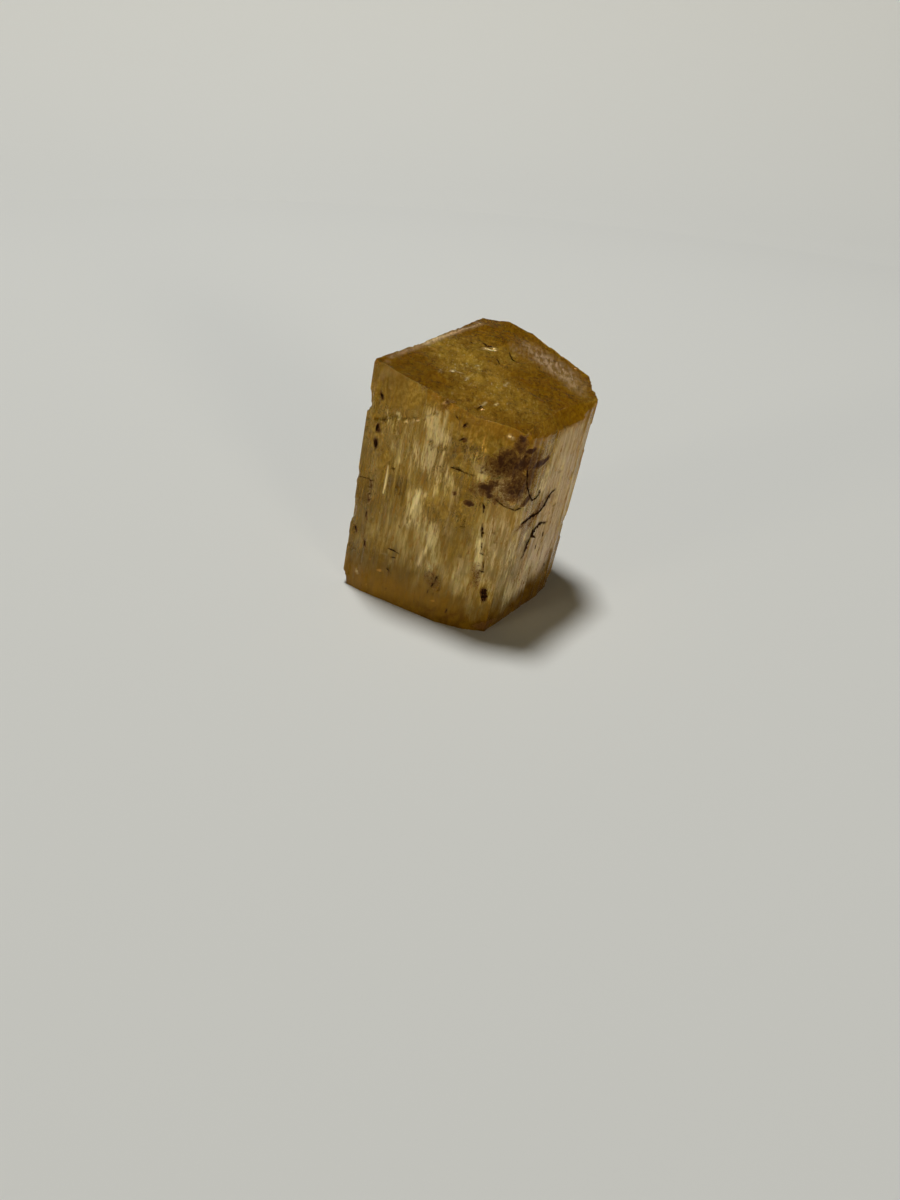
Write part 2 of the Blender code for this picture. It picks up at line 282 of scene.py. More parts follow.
# Pale creamy zones on the sides, and the rosy frosted ones on the right, which are partly a painted
# reflection of the bright paper.
CREAM = (
    (436, 428, 12, 20, 1.0),
    (426, 455, 14, 16, 0.75),
    (414, 508, 8, 17, 0.9),
    (432, 538, 9, 20, 0.8),
    (424, 566, 10, 9, 0.5),
    (405, 450, 16, 30, 0.45),
    (446, 490, 14, 30, 0.55),
    (478, 560, 4, 22, 1.0),
    (458, 590, 18, 8, 0.35),
    (498, 545, 18, 34, 0.5),
    (512, 590, 18, 9, 0.5),
    (502, 489, 5, 5, 1.2),
    (481, 473, 5, 8, 0.9),
    (547, 478, 6, 12, 0.8),
    (540, 540, 10, 22, 0.25),
    (524, 576, 12, 12, 1.1),
    (512, 560, 12, 20, 0.5),
)
ROSY_FROST_AND_REFLECTION = (
    (572, 440, 13, 26, 0.85),
    (562, 480, 16, 30, 0.95),
    (549, 525, 16, 30, 1.1),
    (538, 565, 14, 18, 1.3),
    (500, 530, 14, 40, 0.45),
    (430, 440, 20, 34, 0.30),
)
# Deep amber zones on the sides, and golden grainy ones and pale frosted ones on the top.
AMBER = (
    (398, 392, 26, 14, 1.0),
    (378, 440, 8, 34, 0.55),
    (470, 425, 22, 20, 0.85),
    (497, 440, 14, 22, 0.85),
    (455, 462, 14, 18, 0.45),
    (515, 425, 26, 8, 0.9),
    (455, 510, 16, 26, 0.45),
    (455, 545, 14, 14, 0.35),
    (378, 560, 16, 36, 0.45),
)
GOLDEN = (
    (468, 366, 24, 24, 1.1),
    (452, 348, 9, 12, 0.8),
    (490, 352, 22, 10, 0.6),
    (498, 392, 26, 20, 0.75),
    (437, 408, 24, 12, 0.7),
    (478, 420, 26, 14, 0.5),
    (580, 390, 10, 12, 0.4),
)
FROST = (
    (538, 354, 8, 8, 0.6),
    (548, 362, 11, 11, 0.7),
    (560, 370, 11, 11, 0.75),
    (568, 380, 7, 8, 0.6),
    (517, 350, 5, 5, 0.4),
)
# Smooth clear-looking zones of deep amber.
DEEP = (
    (392, 377, 14, 12, 0.6),
    (394, 399, 14, 9, 0.5),
    (380, 585, 34, 14, 0.75),
    (425, 590, 26, 14, 0.75),
    (385, 565, 26, 16, 0.5),
    (361, 520, 5, 22, 0.4),
)
PAINTED = {
    "stain": STAIN,
    "haze": HAZE,
    "cream": CREAM,
    "rosy": ROSY_FROST_AND_REFLECTION,
    "amber": AMBER,
    "golden": GOLDEN,
    "frost": FROST,
    "deep": DEEP,
}
# Pale streaks along the striations, with painted glints and painted internal reflections among them on the
# sides and the top: top and bottom point, half width in mm, strength.
PALE_AND_GLINTS = (
    ((431, 412), (427, 446), 0.3, 0.8),
    ((437, 418), (434, 440), 0.22, 0.8),
    ((447, 412), (441, 441), 0.36, 0.9),
    ((452, 424), (447, 452), 0.2, 0.7),
    ((429, 447), (426, 463), 0.35, 0.8),
    ((444, 452), (440, 468), 0.3, 0.8),
    ((418, 494), (408, 523), 0.9, 1.1),
    ((425, 494), (419, 512), 0.45, 0.8),
    ((434, 526), (425, 552), 0.6, 0.9),
    ((423, 552), (418, 564), 0.5, 0.8),
    ((455, 486), (445, 530), 0.4, 0.5),
    ((388.6, 466.5), (383.5, 493), 0.22, 1.2),
    ((402, 440), (399, 462), 0.3, 0.5),
    ((412, 452), (409, 480), 0.3, 0.5),
    ((480, 540), (478, 575), 0.4, 1.0),
    ((470, 545), (466, 572), 0.4, 0.6),
    ((460, 560), (455, 590), 0.6, 0.6),
    ((478, 460), (481, 478), 0.9, 0.7),
    ((501, 485), (503, 494), 0.8, 0.9),
    ((571, 430), (556, 500), 0.35, 0.7),
    ((583, 425), (566, 520), 0.25, 0.7),
    ((556, 450), (548, 482), 0.4, 0.6),
    ((548, 468), (545, 480), 0.6, 0.8),
    ((516, 545), (513, 575), 0.6, 0.5),
    ((484, 348), (495, 350), 0.28, 1.6),
    ((387, 411), (388, 418), 0.22, 1.3),
    ((398, 413), (399, 418.5), 0.26, 1.5),
    ((406, 421), (408, 421.5), 0.2, 1.2),
    ((414, 420.5), (422, 420), 0.2, 1.0),
    ((452, 371), (455, 370), 0.22, 1.4),
    ((457, 371), (463, 373), 0.18, 1.0),
    ((495, 405), (498, 403), 0.2, 1.2),
    ((509, 436), (512, 438), 0.24, 1.2),
    ((481, 406), (486, 402), 0.2, 1.0),
    ((356, 570), (357, 573), 0.16, 1.0),
    ((466, 380), (468, 377), 0.2, 1.1),
    ((440, 372), (441, 369), 0.2, 1.0),
    ((476, 366), (479, 365), 0.18, 1.0),
    ((505, 386), (508, 382), 0.18, 0.9),
    ((487, 345), (497, 348.5), 0.16, 1.2),
)

# Painted highlight along the ridge at the top's left edge, where it catches the light, as strokes in the same
# form.
RIDGE_HIGHLIGHTS = (
    ((390, 356), (425, 343), 0.5, 0.6),
    ((425, 343), (455, 332), 0.5, 1.0),
    ((455, 332), (480, 323), 0.5, 0.8),
    ((480, 323), (500, 318), 0.4, 1.1),
    ((382, 378), (388, 361), 0.4, 0.4),
)

# Noise patterns over the crystal, in mm: how far x, y and z are scaled (a low z gives streaks along the
# crystal), then the noise's scale, detail, roughness and distortion.
Pattern = namedtuple("Pattern", "stretch scale detail rough warp")
EVEN = (1.0, 1.0, 1.0)
NOISE_MIDDLE = 0.5
STREAKS = Pattern((1.0, 1.0, 0.16), 1.3, 5.0, 0.68, 0.0)
BROAD = Pattern((1.0, 1.0, 0.3), 0.5, 4.0, 0.6, 0.4)
LINES = Pattern((1.0, 1.0, 0.10), 1.0, 4.0, 0.6, 0.0)
CHIPS = Pattern((1.0, 1.0, 0.22), 1.2, 4.0, 0.6, 0.4)
BLOTCHES = Pattern((1.0, 0.6, 0.7), 0.5, 6.0, 0.75, 0.3)
GRAIN = Pattern((1.0, 0.4, 0.7), 1.8, 5.0, 0.7, 0.0)
FLECKS_AND_SPARKLES = Pattern((1.0, 0.4, 0.7), 2.1, 4.0, 0.65, 0.5)
SCRATCHES = Pattern((1.0, 0.4, 0.7), 0.8, 3.0, 0.6, 1.0)
FROST_DASHES = Pattern((1.0, 0.25, 0.25), 1.8, 3.0, 0.55, 0.0)
PALE_AND_GLINT_BREAKS = Pattern((1.0, 1.0, 0.16), 1.8, 3.0, 0.55, 0.0)
FOOT_SHADE_EDGE = Pattern((1.0, 1.0, 0.3), 0.3, 5.0, 0.65, 0.0)
SPECKS = Pattern((1.0, 1.0, 0.5), 0.9, 5.0, 0.7, 0.0)
RUST = Pattern(EVEN, 1.7, 6.0, 0.8, 0.5)
CRACK_EDGES = Pattern(EVEN, 2.2, 3.0, 0.55, 0.0)
GLOSS = Pattern((1.0, 1.0, 0.2), 1.5, 3.0, 0.55, 0.0)
BUMPS = Pattern(EVEN, 3.0, 3.0, 0.6, 0.0)
FILLING = Pattern(EVEN, 3.0, 4.0, 0.55, 0.0)

# How a value turns into a strength: from low to high, and where given, the strengths at both ends.
ZONE_RAMP = (0.75, 1.25)
BODY_RAMP = (0.36, 0.64)
CREAM_RAMP = (0.14, 0.74, 0.0, 0.95)
ROSY_FROST_AND_REFLECTION_RAMP = (-0.4, 0.3, 0.55, 1.0)
LINE_RAMP = (0.0, 0.022, 0.85, 0.0)
CHIP_RAMP = (0.56, 0.64, 0.0, 0.55)
CUT_RAMP = (0.405, 0.365, 0.0, 0.8)
TOP_RAMP = (0.40, 0.62)
GOLD_RAMP = (0.34, 0.60, 0.35, 1.0)
GRAIN_RAMP = (0.52, 0.68, 0.0, 0.8)
SPARKLE_RAMP = (0.61, 0.68, 0.0, 0.6)
DARK_FLECK_RAMP = (0.40, 0.33, 0.0, 0.5)
SCRATCH_RAMP = (0.004, 0.014, 0.6, 0.0)
FROST_RAMP = (0.40, 0.60, 0.25, 1.0)
WARM_RAMP = (0.38, 0.62)
# Painted shade at the foot: the heights in mm over which it fades out, then how its two colours blend.
FOOT_SHADE_RAMP = (3.0, 10.5, 1.0, 0.0)
FOOT_SHADE_COLOUR_RAMP = (0.4, 0.6)
SMOOTH_RAMP = (0.35, 0.60, 0.8, 1.0)
PALE_AND_GLINT_RAMP = (0.34, 0.54)
# Painted highlight on the ridge at the top's left edge: how it breaks up.
RIDGE_HIGHLIGHT_RAMP = (0.34, 0.56, 0.5, 1.0)
SPECK_RAMP = (0.65, 0.70)
STAIN_EDGE_RAMP = (0.0, 0.2)
STAIN_RAMP = (0.05, 0.50, 0.0, 0.95)
CORE_RAMP = (0.50, 0.92)
CRACK_RAMP = (0.15, 0.50, 0.75, 0.0)
HAZE_RAMP = (0.35, 0.65, 0.6, 1.2)
UPPER_OPAQUE_RAMP = (0.38, 0.62, 0.35, 0.5)
FILLING_RAMP = (0.4, 0.65)

# How much the patterns and zones weigh against one another. Heights are in mm.
ZONE_RAGGED = 1.2
STREAK_WEIGHT = 2.2
CREAM_WEIGHT = 0.72
RUST_WEIGHT = 2.4
AMBER_SPECKS = 0.025
SPECK_STRENGTH = 0.8
CRACK_EDGE_WIDTH = 0.5
FOOT_SHADE_EDGE_HEIGHT = 14.0
CREAM_LIFT = 4.0

# Colours: linear red, green and blue, and alpha.
BODY_BROWN = (0.60, 0.40, 0.08, 1.0)
BODY_GOLD = (0.90, 0.70, 0.27, 1.0)
# The rose colours are frost on the right face, partly a painted reflection of the bright paper.
ROSE_BROWN = (0.60, 0.45, 0.27, 1.0)
CREAM_COLOUR = (1.0, 0.82, 0.38, 1.0)
ROSE_CREAM = (0.80, 0.64, 0.42, 1.0)
LINE_BROWN = (0.22, 0.11, 0.010, 1.0)
CHIP_CREAM = (1.0, 0.86, 0.50, 1.0)
CUT_BROWN = (0.24, 0.115, 0.010, 1.0)
TOP_AMBER = (0.30, 0.13, 0.002, 1.0)
TOP_BROWN = (0.44, 0.22, 0.006, 1.0)
TOP_GOLD = (0.62, 0.38, 0.045, 1.0)
GRAIN_GOLD = (0.95, 0.70, 0.20, 1.0)
# Painted glints on the top's golden zones.
SPARKLE_CREAM = (1.0, 0.86, 0.44, 1.0)
FLECK_BROWN = (0.16, 0.06, 0.002, 1.0)
SCRATCH_BROWN = (0.16, 0.07, 0.004, 1.0)
FROST_ROSE = (0.84, 0.62, 0.38, 1.0)
WARM_BROWN = (0.40, 0.235, 0.022, 1.0)
WARM_GOLD = (0.70, 0.48, 0.10, 1.0)
# Painted shade at the foot, where it stands on the paper.
FOOT_SHADE_DARK = (0.11, 0.050, 0.001, 1.0)
FOOT_SHADE_AMBER = (0.19, 0.098, 0.004, 1.0)
SMOOTH_AMBER = (0.30, 0.16, 0.010, 1.0)
# Pale streaks, and painted glints and internal reflections.
PALE_AND_GLINT_CREAM = (1.0, 0.84, 0.44, 1.0)
# Painted highlight on the ridge at the top's left edge.
RIDGE_HIGHLIGHT_ROSE = (0.84, 0.62, 0.40, 1.0)
SPECK_BROWN = (0.06, 0.02, 0.004, 1.0)
STAIN_BROWN = (0.115, 0.052, 0.014, 1.0)
CORE_BROWN = (0.020, 0.004, 0.004, 1.0)
CRACK_BROWN = (0.08, 0.030, 0.008, 1.0)
FILLING_DARK = (0.008, 0.003, 0.001, 1.0)
FILLING_BROWN = (0.032, 0.012, 0.004, 1.0)
GAP_COLOUR = (1.0, 0.96, 0.80, 1.0)
PAPER_COLOUR = (0.735, 0.755, 0.74, 1.0)

# The surface: how opaque each zone is, how rough, how it shines and glows, and its bumps (m).
LEAST_OPAQUE = 0.08
FOOT_OPAQUE = 0.85
VEIL_OPAQUE = 0.7
FROST_OPAQUE = 0.8
ROUGH_LEAST = 0.08
ROUGH_RANGE = 0.25
STAIN_ROUGH = 0.7
FILLING_ROUGH = 0.7
GAP_ROUGH = 0.16
PAPER_ROUGH = 0.9
TOPAZ_IOR = 1.62
SPECULAR_LEVEL = 0.35
SPECULAR_TINT = (1.0, 0.5, 0.12, 1.0)
GLOW_WEIGHT = 0.5
GLOW_RADIUS = (1.0, 0.6, 0.2)
GLOW_SCALE = 0.002
BUMP_DEPTH = 0.06 * MM
BUMP_STRENGTH = 0.6
# What the amber glass lets through, and how strongly it absorbs the rest for each metre.
ABSORPTION_COLOUR = (0.87, 0.70, 0.02, 1.0)
ABSORPTION_DENSITY = 29.0

# Lights, aimed at the crystal: name, azimuth and elevation (degrees), distance and width (m), power (W) and
# colour. The fills are low and far away, so that they light its sides and hardly the paper.
LIGHTS = (
    ("key", 112, 74.5, 1.6, 0.3, 17.9, (1.0, 0.985, 0.955)),
    ("front_fill", 300, 8, 4.0, 1.0, 44.0, (1.0, 0.89, 0.68)),
    ("left_fill", 220, 8, 4.0, 1.0, 24.0, (1.0, 0.89, 0.68)),
)
# The light all round: its colour, its strength at the horizon and high up, and how high up it is reached (the
# upright part of a direction of length 1).
WORLD_COLOUR = (1.0, 0.84, 0.56, 1.0)
WORLD_LOW = 0.16
WORLD_HIGH = 0.01
WORLD_RISE = 0.6

# How often light may bounce, in all and through clear faces.
BOUNCES = 24
CLEAR_BOUNCES = 20


def picture_ray(x, y):
    """Direction from the camera through a pixel of the photograph."""
    focal = CAMERA_LENS / SENSOR * PICTURE[1]
    ray = Vector((x - PICTURE[0] / 2, PICTURE[1] / 2 - y, -focal)).normalized()
    return camera_turn() @ ray


def camera_turn():
    look = Matrix.Rotation(math.radians(90.0 - CAMERA_DOWN), 3, "X")
    return look @ Matrix.Rotation(math.radians(CAMERA_ROLL), 3, "Z")


class Solid:
    """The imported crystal, for sampling its surface with rays."""

    def __init__(self, obj):
        mesh = obj.data
        mesh.calc_loop_triangles()
        triangles = [tuple(t.vertices) for t in mesh.loop_triangles]
        self.tree = BVHTree.FromPolygons([v.co.copy() for v in mesh.vertices], triangles)

    def side(self, outward, height):
        """Where the level line in from outside, at a height, meets the crystal."""
        point = None
        while point is None:
            middle = FOOT + AXIS * height
            point, normal = self.tree.ray_cast(middle + outward * OUTSIDE, -outward)[:2]
            height -= MISS_STEP
        return point, normal

    def top(self, x, y):
        """Where the upright line down through a place meets the crystal."""
        return self.tree.ray_cast(Vector((x, y, ABOVE)), Vector((0.0, 0.0, -1.0)))[:2]

    def seen(self, x, y):
        """The crystal's surface point at a pixel of the photograph, or at the nearest one further in."""
        point = None
        while point is None:
            point, normal = self.tree.ray_cast(CAMERA_PLACE, picture_ray(x, y))[:2]
            x += (PICTURE_MIDDLE[0] - x) * STEP_IN
            y += (PICTURE_MIDDLE[1] - y) * STEP_IN
        return point, normal

    def holds(self, point, margin):
        """Whether a point lies inside the crystal with a margin all round."""
        axis_point = FOOT + AXIS * point.z
        outward = point - axis_point
        reach = outward.length
        side = self.side(outward.normalized(), point.z)[0] - axis_point
        top = self.top(point.x, point.y)[0]
        if top is None or point.z > top.z - margin or side.length < reach + margin:
            return False
        return self.tree.find_nearest(point)[3] > margin


def segment_distance(point, start, end):
    """Distance in mm from a point to a segment."""
    run = end - start
    share = (point - start).dot(run) / max(1e-12, run.length_squared)
    return (point - start - run * min(1.0, max(0.0, share))).length / MM


def outline(solid):
    """The crystal's outline near its sole, as points at even angles with the length up to each."""
    points = []
    for i in range(OUTLINE_RAYS + 1):
        angle = 2 * math.pi * i / OUTLINE_RAYS
        outward = Vector((math.cos(angle), math.sin(angle), 0.0))
        points.append(solid.side(outward, OUTLINE_HEIGHT)[0])
    lengths = [0.0]
    for a, b in zip(points, points[1:]):
        lengths.append(lengths[-1] + (b - a).length)
    return points, lengths


def ridges(total, rng):
    """Random ridges side by side round the outline: start, peak, depth."""
    starts = [0.0]
    while starts[-1] < total:
        starts.append(starts[-1] + rng.uniform(*RIDGE_WIDTH) * MM)
    scale = total / starts[-1]
    result = []
    for a, b in zip(starts, starts[1:]):
        peak = a + (b - a) * rng.uniform(*RIDGE_PEAK)
        result.append((a * scale, peak * scale, rng.uniform(*RIDGE_DEPTH) * MM))
    return result


def stations(points, lengths, fine):
    """A station at each valley and each peak of the ridges: outward direction, ridge, whether a peak."""
    result = []
    index = 0
    for number, (start, peak, _) in enumerate(fine):
        for place, at_peak in ((start, False), (peak, True)):
            while lengths[index + 1] < place:
                index += 1
            share = (place - lengths[index]) / max(1e-9, lengths[index + 1] - lengths[index])
            outward = points[index].lerp(points[index + 1], share) - FOOT - AXIS * OUTLINE_HEIGHT
            outward.z = 0.0
            result.append((outward.normalized(), number, at_peak))
    return result


def rim_height(solid, outward):
    """Height at which the side ends and the top begins."""
    low = solid.side(outward, 0.5 * RIM_SEARCH_FROM)[0]
    reach = (low - FOOT - AXIS * 0.5 * RIM_SEARCH_FROM).dot(outward)
    height = RIM_SEARCH_FROM
    while True:
        point, normal = solid.side(outward, height)
        inward = reach - (point - FOOT - AXIS * height).dot(outward)
        if inward < RIM_NEAR and normal.z < TOP_NORMAL_Z:
            return height
        height -= RIM_STEP


def smooth_rim(heights):
    """Take out single jumps in the rim's height."""
    count = len(heights)
    middle = len(RIM_MEDIAN) // 2
    return [sorted(heights[(i + k) % count] for k in RIM_MEDIAN)[middle] for i in range(count)]


def pits(ridge_count, rng):
    """Long pits: for each ridge, a list of (from height, to height, depth) in mm."""
    table = [[] for _ in range(ridge_count)]
    for _ in range(PIT_COUNT):
        first = rng.randrange(ridge_count)
        low = rng.uniform(*PIT_HEIGHTS)
        high = low + rng.uniform(*PIT_LENGTH)
        depth = rng.uniform(*PIT_DEPTH)
        for number in range(first, first + rng.choice(PIT_ACROSS)):
            table[number % ridge_count].append((low, high, depth))
    return table


def ridge_depth(number, at_peak, height, fine, pit_table):
    """How far in mm a striation lies under the solid's surface at a height in mm."""
    depth = 0.0
    if not at_peak:
        swell = noise.noise(Vector((number * RIDGE_APART, height / RIDGE_RUN, RIDGE_NOISE)))
        mean, share, least = RIDGE_SWELL
        depth = fine[number][2] / MM * min(1.0, max(least, mean + share * swell))
    for low, high, pit in pit_table[number]:
        if low < height < high:
            depth += pit
    return depth


def skin(solid):
    """The crystal's surface as a fine mesh: striated sides, etched top and flat sole."""
    points, lengths = outline(solid)
    rng = random.Random(SEED)
    fine = ridges(lengths[-1], rng)
    pit_table = pits(len(fine), rng)
    marks = stations(points, lengths, fine)
    rims = smooth_rim([rim_height(solid, mark[0]) for mark in marks])
    rows = round(max(rims) / ROW_HEIGHT)
    verts = []
    grid = []
    for row in range(rows + 1):
        ring = []
        for (outward, number, at_peak), rim in zip(marks, rims):
            height = max(SOLE_HEIGHT, rim * row / rows)
            point = solid.side(outward, height)[0]
            point = point - outward * ridge_depth(number, at_peak, height / MM, fine, pit_table) * MM
            if row == 0:
                point.z = 0.0
            ring.append(len(verts))
            verts.append(point)
        grid.append(ring)
    faces = []
    count = len(marks)
    for low, high in zip(grid, grid[1:]):
        for i in range(count):
            j = (i + 1) % count
            faces.append((low[i], low[j], high[j], high[i]))
    side_count = len(verts)
    cap(solid, verts, faces, grid[-1], TOP_SPACING, True)
    top_count = len(verts)
    cap(solid, verts, faces, grid[0], SOLE_SPACING, False)
    mesh = bpy.data.meshes.new("crystal_skin")
    mesh.from_pydata([tuple(v) for v in verts], [], faces)
    mesh.update()
    paint(mesh, solid, verts, side_count, top_count, rims)
    return mesh


def cap(solid, verts, faces, ring, spacing, upper):
    """Close a ring of points with triangles on an even net of points."""
    border = [verts[i].to_2d() for i in ring]
    low_x, high_x = min(p.x for p in border), max(p.x for p in border)
    low_y, high_y = min(p.y for p in border), max(p.y for p in border)
    inner = []
    for row in range(int((high_y - low_y) / spacing) + 2):
        for column in range(int((high_x - low_x) / spacing) + 2):
            shift = 0.5 * (row % 2)
            inner.append(Vector((low_x + (column + shift) * spacing, low_y + row * spacing * NET_ROW)))
    count = len(border)
    edges = [(i, (i + 1) % count) for i in range(count)]
    net = delaunay_2d_cdt(border + inner, edges, [list(range(count))], 1, NET_TOLERANCE)
    points, _, triangles, origins = net[:4]
    index = []
    for origin in origins:
        old = [o for o in origin if o < count]
        index.append(ring[old[0]] if old else None)
    for triangle in triangles:
        for i in triangle:
            if index[i] is None:
                index[i] = len(verts)
                place = Vector((points[i].x, points[i].y, 0.0))
                if upper:
                    place.z = solid.top(place.x, place.y)[0].z - top_relief(place)
                verts.append(place)
        corners = [index[i] for i in triangle]
        faces.append(corners if upper else corners[::-1])


def top_relief(place):
    """Depth of the etching on the top."""
    spot = place / MM
    depth = ETCH_DEPTH
    for share, reach_x, reach_y, place_in_noise in ETCH_NOISE:
        depth += share * noise.noise(Vector((spot.x / reach_x, spot.y / reach_y, place_in_noise)))
    return depth * MM


def patches(solid, table):
    """Patches given in pixels, as places on the crystal: middle, half width, half height, strength."""
    result = []
    for x, y, wide, high, strength in table:
        across = (solid.seen(x + PROBE, y)[0] - solid.seen(x - PROBE, y)[0]) / (2 * PROBE)
        upward = (solid.seen(x, y - PROBE)[0] - solid.seen(x, y + PROBE)[0]) / (2 * PROBE)
        result.append((solid.seen(x, y)[0], across * wide, upward * high, strength))
    return result


def patch_strength(point, patch):
    """How strongly a patch covers a point: fully in the middle, and not at all past PATCH_END half sizes."""
    middle, across, upward, strength = patch
    away = point - middle
    if away.length > PATCH_CUT * max(across.length, upward.length):
        return 0.0
    u = away.dot(across) / across.length_squared
    v = away.dot(upward) / upward.length_squared
    return strength * min(1.0, max(0.0, PATCH_END - math.hypot(u, v)))


def strokes(solid, table):
    """Strokes given in pixels, as places on the crystal: start, end, half width, strength."""
    result = []
    for start, end, half, strength in table:
        result.append((solid.seen(*start)[0], solid.seen(*end)[0], half, strength))
    return result


def stroke_strength(point, table):
    """How strongly the strokes cover a point: fully along their middle, not at all two half widths away."""
    best = 0.0
    for start, end, half, strength in table:
        if (point - start).length < STROKE_REACH:
            best = max(best, strength * (1.0 - STROKE_LOSS * segment_distance(point, start, end) / half))
    return best


def paint(mesh, solid, verts, side_count, top_count, rims):
    """Give each point of the skin its distance to the cracks and the strength of each zone and stroke."""
    cracks = []
    for half, *pixels in CRACKS:
        line = [solid.seen(*p)[0] for p in pixels]
        cracks += [(half, a, b) for a, b in zip(line, line[1:])]
    pale = strokes(solid, PALE_AND_GLINTS)
    ridge_highlight = strokes(solid, RIDGE_HIGHLIGHTS)
    crack_field = [CRACK_FAR] * len(verts)
    top_field = [0.0] * len(verts)
    for i, point in enumerate(verts):
        if i < side_count:
            top_field[i] = max(0.0, 1.0 - (rims[i % len(rims)] - point.z) / TOP_FADE)
        elif i < top_count:
            top_field[i] = 1.0
        for half, a, b in cracks:
            if abs(point.z - a.z) < CRACK_REACH_UP and (point - a).length < CRACK_REACH:
                crack_field[i] = min(crack_field[i], segment_distance(point, a, b) - half)
    fields = {"crack": crack_field, "top": top_field}
    fields["pale"] = [stroke_strength(point, pale) for point in verts]
    fields["ridge_highlight"] = [stroke_strength(point, ridge_highlight) for point in verts]
    for name, table in PAINTED.items():
        placed = patches(solid, table)
        fields[name] = [max(patch_strength(point, patch) for patch in placed) for point in verts]
    for name, field in fields.items():
        layer = mesh.attributes.new(name, "FLOAT", "POINT")
        layer.data.foreach_set("value", field)


def crack_filling(solid):
    """The dark filling of the cracks: for each, a thin wedge along its trace, deep into the crystal."""
    verts = []
    faces = []
    mean_width, width_share, least_width = CRACK_WIDTHS
    mean_depth, depth_share, least_depth = CRACK_DEPTHS
    for number, (half, *pixels) in enumerate(CRACKS):
        trace = crack_trace(solid, pixels)
        last = len(trace) - 1
        first = len(verts)
        for k, (point, normal) in enumerate(trace):
            ahead = trace[min(k + 1, last)][0] - trace[max(k - 1, 0)][0]
            sideways = normal.cross(ahead).normalized()
            taper = min(1.0, CRACK_END + CRACK_TAPER * min(k, last - k))
            ragged = noise.noise(Vector((CRACK_RUN * k, CRACK_APART * number, CRACK_NOISE)))
            wide = half * taper * max(least_width, mean_width + width_share * ragged) * MM
            point = point + normal * CRACK_LIFT * MM + sideways * wide * ragged
            deep = CRACK_DEPTH * taper * max(least_depth, mean_depth + depth_share * ragged) * MM
            verts += [point - sideways * wide, point + sideways * wide, point - normal * deep]
        faces.append((first, first + 1, first + 2))
        for a in range(first, first + 3 * last, 3):
            b = a + 3
            faces += [(a, b, b + 1, a + 1), (a + 1, b + 1, b + 2, a + 2), (a, a + 2, b + 2, b)]
        end = first + 3 * last
        faces.append((end, end + 2, end + 1))
    mesh = bpy.data.meshes.new("crack_filling")
    mesh.from_pydata([tuple(v) for v in verts], [], faces)
    mesh.update()
    return mesh


def crack_trace(solid, pixels):
    """Places and normals along a crack, a short step apart."""
    trace = []
    for (x0, y0), (x1, y1) in zip(pixels, pixels[1:]):
        steps = max(1, round(math.hypot(x1 - x0, y1 - y0) / CRACK_STEP))
        trace += [solid.seen(x0 + (x1 - x0) * k / steps, y0 + (y1 - y0) * k / steps) for k in range(steps)]
    trace.append(solid.seen(*pixels[-1]))
    return trace


def ball():
    """Points and triangles of a small round shape."""
    shape = bmesh.new()
    bmesh.ops.create_icosphere(shape, subdivisions=2, radius=1.0)
    points = [v.co.copy() for v in shape.verts]
    triangles = [[v.index for v in f.verts] for f in shape.faces]
    shape.free()
    return points, triangles


def gap_place(solid, rng):
    """A random place inside the crystal, and the radius of a gap that fits there."""
    while True:
        angle = rng.uniform(0.0, 2 * math.pi)
        outward = Vector((math.cos(angle), math.sin(angle), 0.0))
        middle = FOOT + (AXIS * rng.uniform(*GAP_HEIGHTS) + outward * rng.uniform(0.0, GAP_REACH)) * MM
        low, high = GAP_RADIUS
        radius = (low + (high - low) * rng.random() ** GAP_POWER) * MM
        if solid.holds(middle, GAP_ROOM * radius + GAP_CLEAR * MM):
            return middle, radius


def gap_facing(rng):
    """Which way a gap faces: across the axis as the cleavage does, along it, or anyhow."""
    kind = rng.random()
    if kind < GAP_ACROSS:
        return AXIS.normalized() + Vector([rng.gauss(0.0, GAP_ACROSS_LEAN) for _ in range(3)])
    if kind < GAP_ACROSS + GAP_ALONG:
        turn = rng.uniform(0.0, 2 * math.pi)
        return Vector((math.cos(turn), math.sin(turn), rng.gauss(0.0, GAP_ALONG_LEAN)))
    return Vector([rng.gauss(0.0, 1.0) for _ in range(3)])


def fractures(solid):
    """Fractures inside the crystal: thin ragged gaps, whose faces look into the gap."""
    rng = random.Random(GAP_SEED)
    shape, triangles = ball()
    verts = []
    faces = []
    for _ in range(GAP_COUNT):
        middle, radius = gap_place(solid, rng)
        turn = gap_facing(rng).to_track_quat("Z", "Y").to_matrix()
        turn = turn @ Matrix.Rotation(rng.uniform(0.0, 2 * math.pi), 3, "Z")
        slim = rng.uniform(*GAP_SLIM)
        shift = rng.uniform(0.0, GAP_SHIFT)
        first = len(verts)
        for p in shape:
            at_edge = Vector((p.x * GAP_RAGGED_FINE + shift, p.y * GAP_RAGGED_FINE, GAP_RAGGED_NOISE))
            at_face = Vector((p.x * GAP_WAVE_FINE, p.y * GAP_WAVE_FINE + shift, GAP_WAVE_NOISE))
            ragged = radius * (1.0 + GAP_RAGGED * noise.noise(at_edge))
            wave = GAP_WAVE * radius * noise.noise(at_face)
            local = Vector((p.x * ragged, p.y * ragged * slim, wave + p.z * GAP_THICK * MM))
            verts.append(middle + turn @ local)
        faces.extend([first + i for i in reversed(corners)] for corners in triangles)
    mesh = bpy.data.meshes.new("inner_fractures")
    mesh.from_pydata([tuple(v) for v in verts], [], faces)
    mesh.update()
    mesh.shade_smooth()
    return mesh


